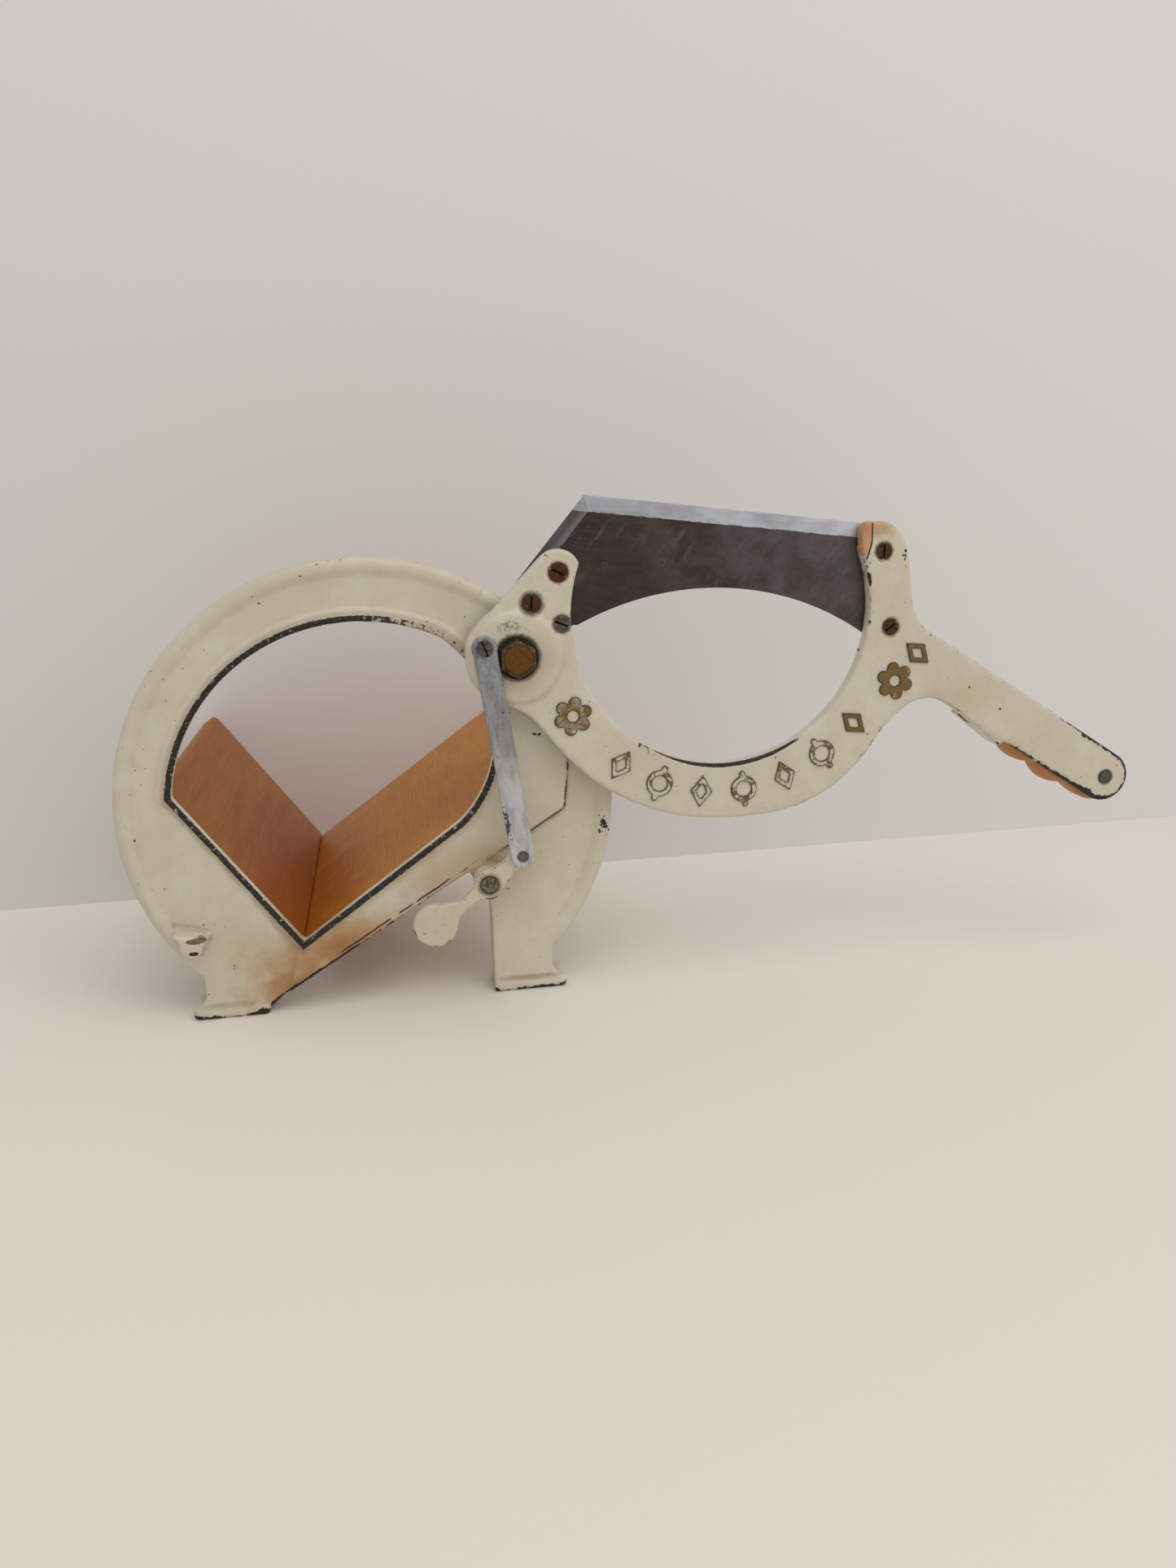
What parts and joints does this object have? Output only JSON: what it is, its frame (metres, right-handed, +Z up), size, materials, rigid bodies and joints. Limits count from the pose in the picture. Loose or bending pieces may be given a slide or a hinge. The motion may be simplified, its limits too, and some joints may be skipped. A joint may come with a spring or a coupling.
{
  "type": "lever bread slicer",
  "caption": "Cast bread slicer: round frame with a wooden V trough, swinging ring arm with a straight blade, wood-backed handle and a linked bread stop.",
  "frame": {"origin": "middle of the bounding box on the table, with the arm open as pictured", "axes": "+X to the right seen from the blade side, +Y from the blade towards the trough, +Z up"},
  "size_m": [0.5368, 0.2232, 0.2579],
  "materials": {
    "enamel": "satin enamel, worn and stained",
    "boards": "varnished",
    "grip_wood": "varnished, worn",
    "blade_steel": "dark patina with a ground edge",
    "fittings": "satin",
    "dark_fittings": "oxidised",
    "rusty_screws": "rusty",
    "link_metal": "wiped, brushed",
    "gilt": "ochre paint, worn"
  },
  "bodies": {
    "frame": {"frame_casting": "enamel", "stop_lug": "enamel", "bed_casting": "enamel", "board_left": "boards", "board_right": "boards", "board_screw_lf": "fittings", "board_screw_lr": "fittings", "board_screw_rf": "fittings", "board_screw_rr": "fittings", "bed_bolt_right": "fittings", "bed_bolt_left": "fittings", "bed_bolt_low": "fittings", "pivot_bolt": "gilt", "pivot_bush": "fittings", "pivot_washer": "dark_fittings", "pivot_nut": "fittings", "open_stop_pin": "fittings"},
    "arm": {"arm_casting": "enamel", "arm_ornaments": "gilt", "blade": "blade_steel", "blade_screw_a": "rusty_screws", "blade_screw_b": "rusty_screws", "blade_screw_c": "dark_fittings", "blade_screw_d": "rusty_screws", "blade_screw_e": "rusty_screws", "grip": "grip_wood", "grip_rivet": "dark_fittings", "link_screw": "dark_fittings"},
    "link": {"link": "link_metal", "link_rivet": "dark_fittings"},
    "stop": {"stop_lever": "enamel", "stop_spindle": "dark_fittings", "stop_collar": "fittings", "collar_screw": "dark_fittings"}
  },
  "joints": [
    {"name": "arm_pivot", "type": "hinge", "parent": "frame", "child": "arm", "pos_m": [-0.06745, -0.0984, 0.1813], "axis": [0, -1, 0], "range_deg": [0, 215.8]},
    {"name": "link_pivot", "type": "hinge", "parent": "arm", "child": "link", "pos_m": [-0.08345, -0.1069, 0.1871], "axis": [0, -1, 0], "range_deg": [-233, 0]},
    {"name": "stop_pivot", "type": "hinge", "parent": "frame", "child": "stop", "pos_m": [-0.08675, -0.0984, 0.0657], "axis": [0, -1, 0], "range_deg": [-63.2, 0]}
  ],
  "couplings": [
    {"joint": "link_pivot", "follows": "arm_pivot", "ratio": -1.079},
    {"joint": "stop_pivot", "follows": "arm_pivot", "ratio": -0.0093}
  ]
}
